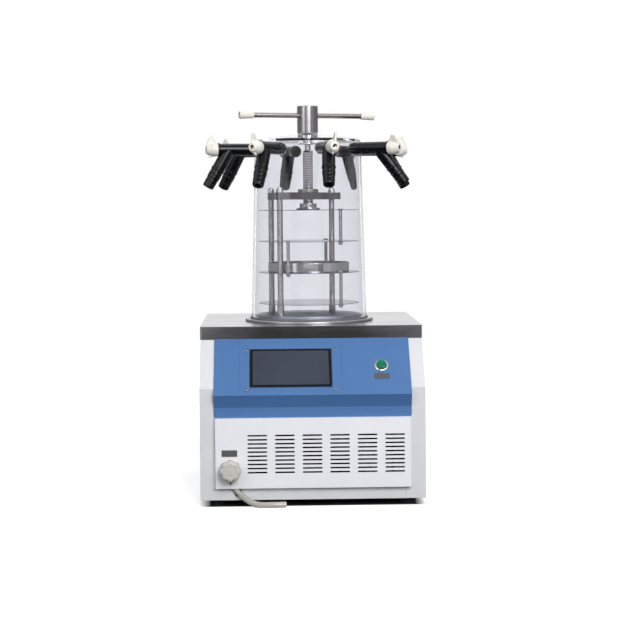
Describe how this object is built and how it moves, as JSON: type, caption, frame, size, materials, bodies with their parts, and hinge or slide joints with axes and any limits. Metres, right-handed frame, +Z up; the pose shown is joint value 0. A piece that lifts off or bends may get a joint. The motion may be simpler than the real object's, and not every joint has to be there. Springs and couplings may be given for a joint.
{
  "type": "bench-top freeze dryer with stoppering stand and flask manifold",
  "caption": "Refrigerated cabinet with a slanted control panel, cold trap and clear bell; flask valves ring the bell, and a T-handle screw presses the stoppering shelves inside.",
  "frame": {"origin": "centre of the footprint, on the bench", "axes": "+X to the right seen from the front, +Y to the back, +Z up along the chamber axis"},
  "size_m": [0.454, 0.548, 0.8132],
  "materials": {
    "painted_case": "white powder coat, satin",
    "blue_paint": "blue powder coat, satin",
    "white_panel": "white powder coat",
    "stainless": "brushed stainless sheet",
    "rubber_feet": "moulded black rubber",
    "screen": "black frame with a dark display",
    "fastener": "bright steel",
    "button_ring": "bright ring",
    "button_green": "green moulded cap",
    "label": "bare grey label plate",
    "black_valve": "black moulded plastic",
    "black_rubber": "black moulded rubber",
    "white_knob": "white moulded plastic",
    "hose": "cloudy soft tube",
    "copper": "copper tube",
    "foam": "rigid insulating foam",
    "turned_steel": "turned stainless steel",
    "grey_bar": "machined bar, dull",
    "clear": "clear acrylic",
    "black_metal": "black enamel",
    "dark_fins": "black-dipped fins and tubes",
    "grey_rubber": "grey moulded rubber",
    "board": "circuit board",
    "bronze": "turned nut"
  },
  "bodies": {
    "cabinet": {"base_pan": "painted_case", "side_panel_left": "painted_case", "side_panel_right": "painted_case", "rear_panel": "painted_case", "front_panel": "white_panel", "control_panel": "blue_paint", "top_plate": "stainless", "feet": "rubber_feet", "touch_screen": "screen", "screen_screws": "fastener", "button_bezel": "button_ring", "label_plates": "label", "drain_valve": "black_valve", "drain_hose": "hose", "cold_trap": "turned_steel", "trap_coil": "copper", "trap_insulation": "foam", "chamber_ring": "stainless", "bell_seal": "grey_rubber", "base_disc": "grey_bar", "compressor": "black_metal", "condenser": "dark_fins", "fan_motor": "black_metal", "refrigerant_pipes": "copper", "control_board": "board", "power_inlet": "black_valve", "vacuum_port": "turned_steel", "bell": "clear", "gland": "turned_steel", "screw_nut": "bronze", "bridge_bar": "grey_bar", "acorn_nuts": "fastener", "support_rods": "turned_steel", "rod_spacers": "black_rubber", "valve_bodies": "black_rubber", "shelf_4": "stainless"},
    "handle": {"handle_hub": "turned_steel", "t_bar": "turned_steel", "bar_caps": "white_knob", "drive_shaft": "turned_steel"},
    "screw": {"press_screw": "turned_steel"},
    "top_shelf": {"shelf_1": "stainless", "press_foot": "turned_steel", "shelf_links_1": "turned_steel"},
    "second_shelf": {"shelf_2": "stainless", "shelf_links_2": "turned_steel"},
    "third_shelf": {"shelf_3": "stainless", "shelf_links_3": "turned_steel", "shelf_dish": "turned_steel"},
    "power_button": {"button_cap": "button_green"},
    "drain_tap": {"drain_knob": "white_knob"},
    "fan": {"fan_blades": "black_valve"},
    "valve_knob_1": {"valve_knob_1": "white_knob"},
    "valve_knob_2": {"valve_knob_2": "white_knob"},
    "valve_knob_3": {"valve_knob_3": "white_knob"},
    "valve_knob_4": {"valve_knob_4": "white_knob"},
    "valve_knob_5": {"valve_knob_5": "white_knob"},
    "valve_knob_6": {"valve_knob_6": "white_knob"},
    "valve_knob_7": {"valve_knob_7": "white_knob"},
    "valve_knob_8": {"valve_knob_8": "white_knob"}
  },
  "joints": [
    {"name": "handle_turn", "type": "hinge", "parent": "cabinet", "child": "handle", "pos_m": [0, 0.02, 0.78], "axis": [0, 0, -1], "range_deg": [0, 2880]},
    {"name": "screw_slide", "type": "slide", "parent": "handle", "child": "screw", "axis": [0, 0, -1], "range_m": [0, 0.04]},
    {"name": "top_shelf_slide", "type": "slide", "parent": "cabinet", "child": "top_shelf", "axis": [0, 0, -1], "range_m": [0, 0.04]},
    {"name": "second_shelf_slide", "type": "slide", "parent": "cabinet", "child": "second_shelf", "axis": [0, 0, -1], "range_m": [0, 0.02667]},
    {"name": "third_shelf_slide", "type": "slide", "parent": "cabinet", "child": "third_shelf", "axis": [0, 0, -1], "range_m": [0, 0.01333]},
    {"name": "power_button_press", "type": "slide", "parent": "cabinet", "child": "power_button", "axis": [0, 0.7577, -0.6526], "range_m": [0, 0.003], "stiffness_N_per_m": 300, "springref_m": -0.002},
    {"name": "drain_tap_turn", "type": "hinge", "parent": "cabinet", "child": "drain_tap", "pos_m": [-0.1655, -0.264, 0.076], "axis": [0, -1, 0], "range_deg": [0, 270]},
    {"name": "fan_spin", "type": "hinge", "parent": "cabinet", "child": "fan", "pos_m": [0.026, -0.17, 0.0745], "axis": [0, 1, 0], "continuous": true},
    {"name": "valve_knob_1_turn", "type": "hinge", "parent": "cabinet", "child": "valve_knob_1", "pos_m": [0.04499, -0.17487, 0.72], "axis": [0.225, -0.9744, 0], "range_deg": [0, 180]},
    {"name": "valve_knob_2_turn", "type": "hinge", "parent": "cabinet", "child": "valve_knob_2", "pos_m": [0.16961, -0.08598, 0.72], "axis": [0.848, -0.5299, 0], "range_deg": [0, 180]},
    {"name": "valve_knob_3_turn", "type": "hinge", "parent": "cabinet", "child": "valve_knob_3", "pos_m": [0.19487, 0.06499, 0.72], "axis": [0.9744, 0.225, 0], "range_deg": [0, 180]},
    {"name": "valve_knob_4_turn", "type": "hinge", "parent": "cabinet", "child": "valve_knob_4", "pos_m": [0.10598, 0.18961, 0.72], "axis": [0.5299, 0.848, 0], "range_deg": [0, 180]},
    {"name": "valve_knob_5_turn", "type": "hinge", "parent": "cabinet", "child": "valve_knob_5", "pos_m": [-0.04499, 0.21487, 0.72], "axis": [-0.225, 0.9744, 0], "range_deg": [0, 180]},
    {"name": "valve_knob_6_turn", "type": "hinge", "parent": "cabinet", "child": "valve_knob_6", "pos_m": [-0.16961, 0.12598, 0.72], "axis": [-0.848, 0.5299, 0], "range_deg": [0, 180]},
    {"name": "valve_knob_7_turn", "type": "hinge", "parent": "cabinet", "child": "valve_knob_7", "pos_m": [-0.19487, -0.02499, 0.72], "axis": [-0.9744, -0.225, 0], "range_deg": [0, 180]},
    {"name": "valve_knob_8_turn", "type": "hinge", "parent": "cabinet", "child": "valve_knob_8", "pos_m": [-0.10598, -0.14961, 0.72], "axis": [-0.5299, -0.848, 0], "range_deg": [0, 180]}
  ],
  "couplings": [
    {"joint": "screw_slide", "follows": "handle_turn", "m_per_rad": 0.00079577},
    {"joint": "top_shelf_slide", "follows": "handle_turn", "m_per_rad": 0.00079577},
    {"joint": "second_shelf_slide", "follows": "handle_turn", "m_per_rad": 0.00053052},
    {"joint": "third_shelf_slide", "follows": "handle_turn", "m_per_rad": 0.00026526}
  ]
}
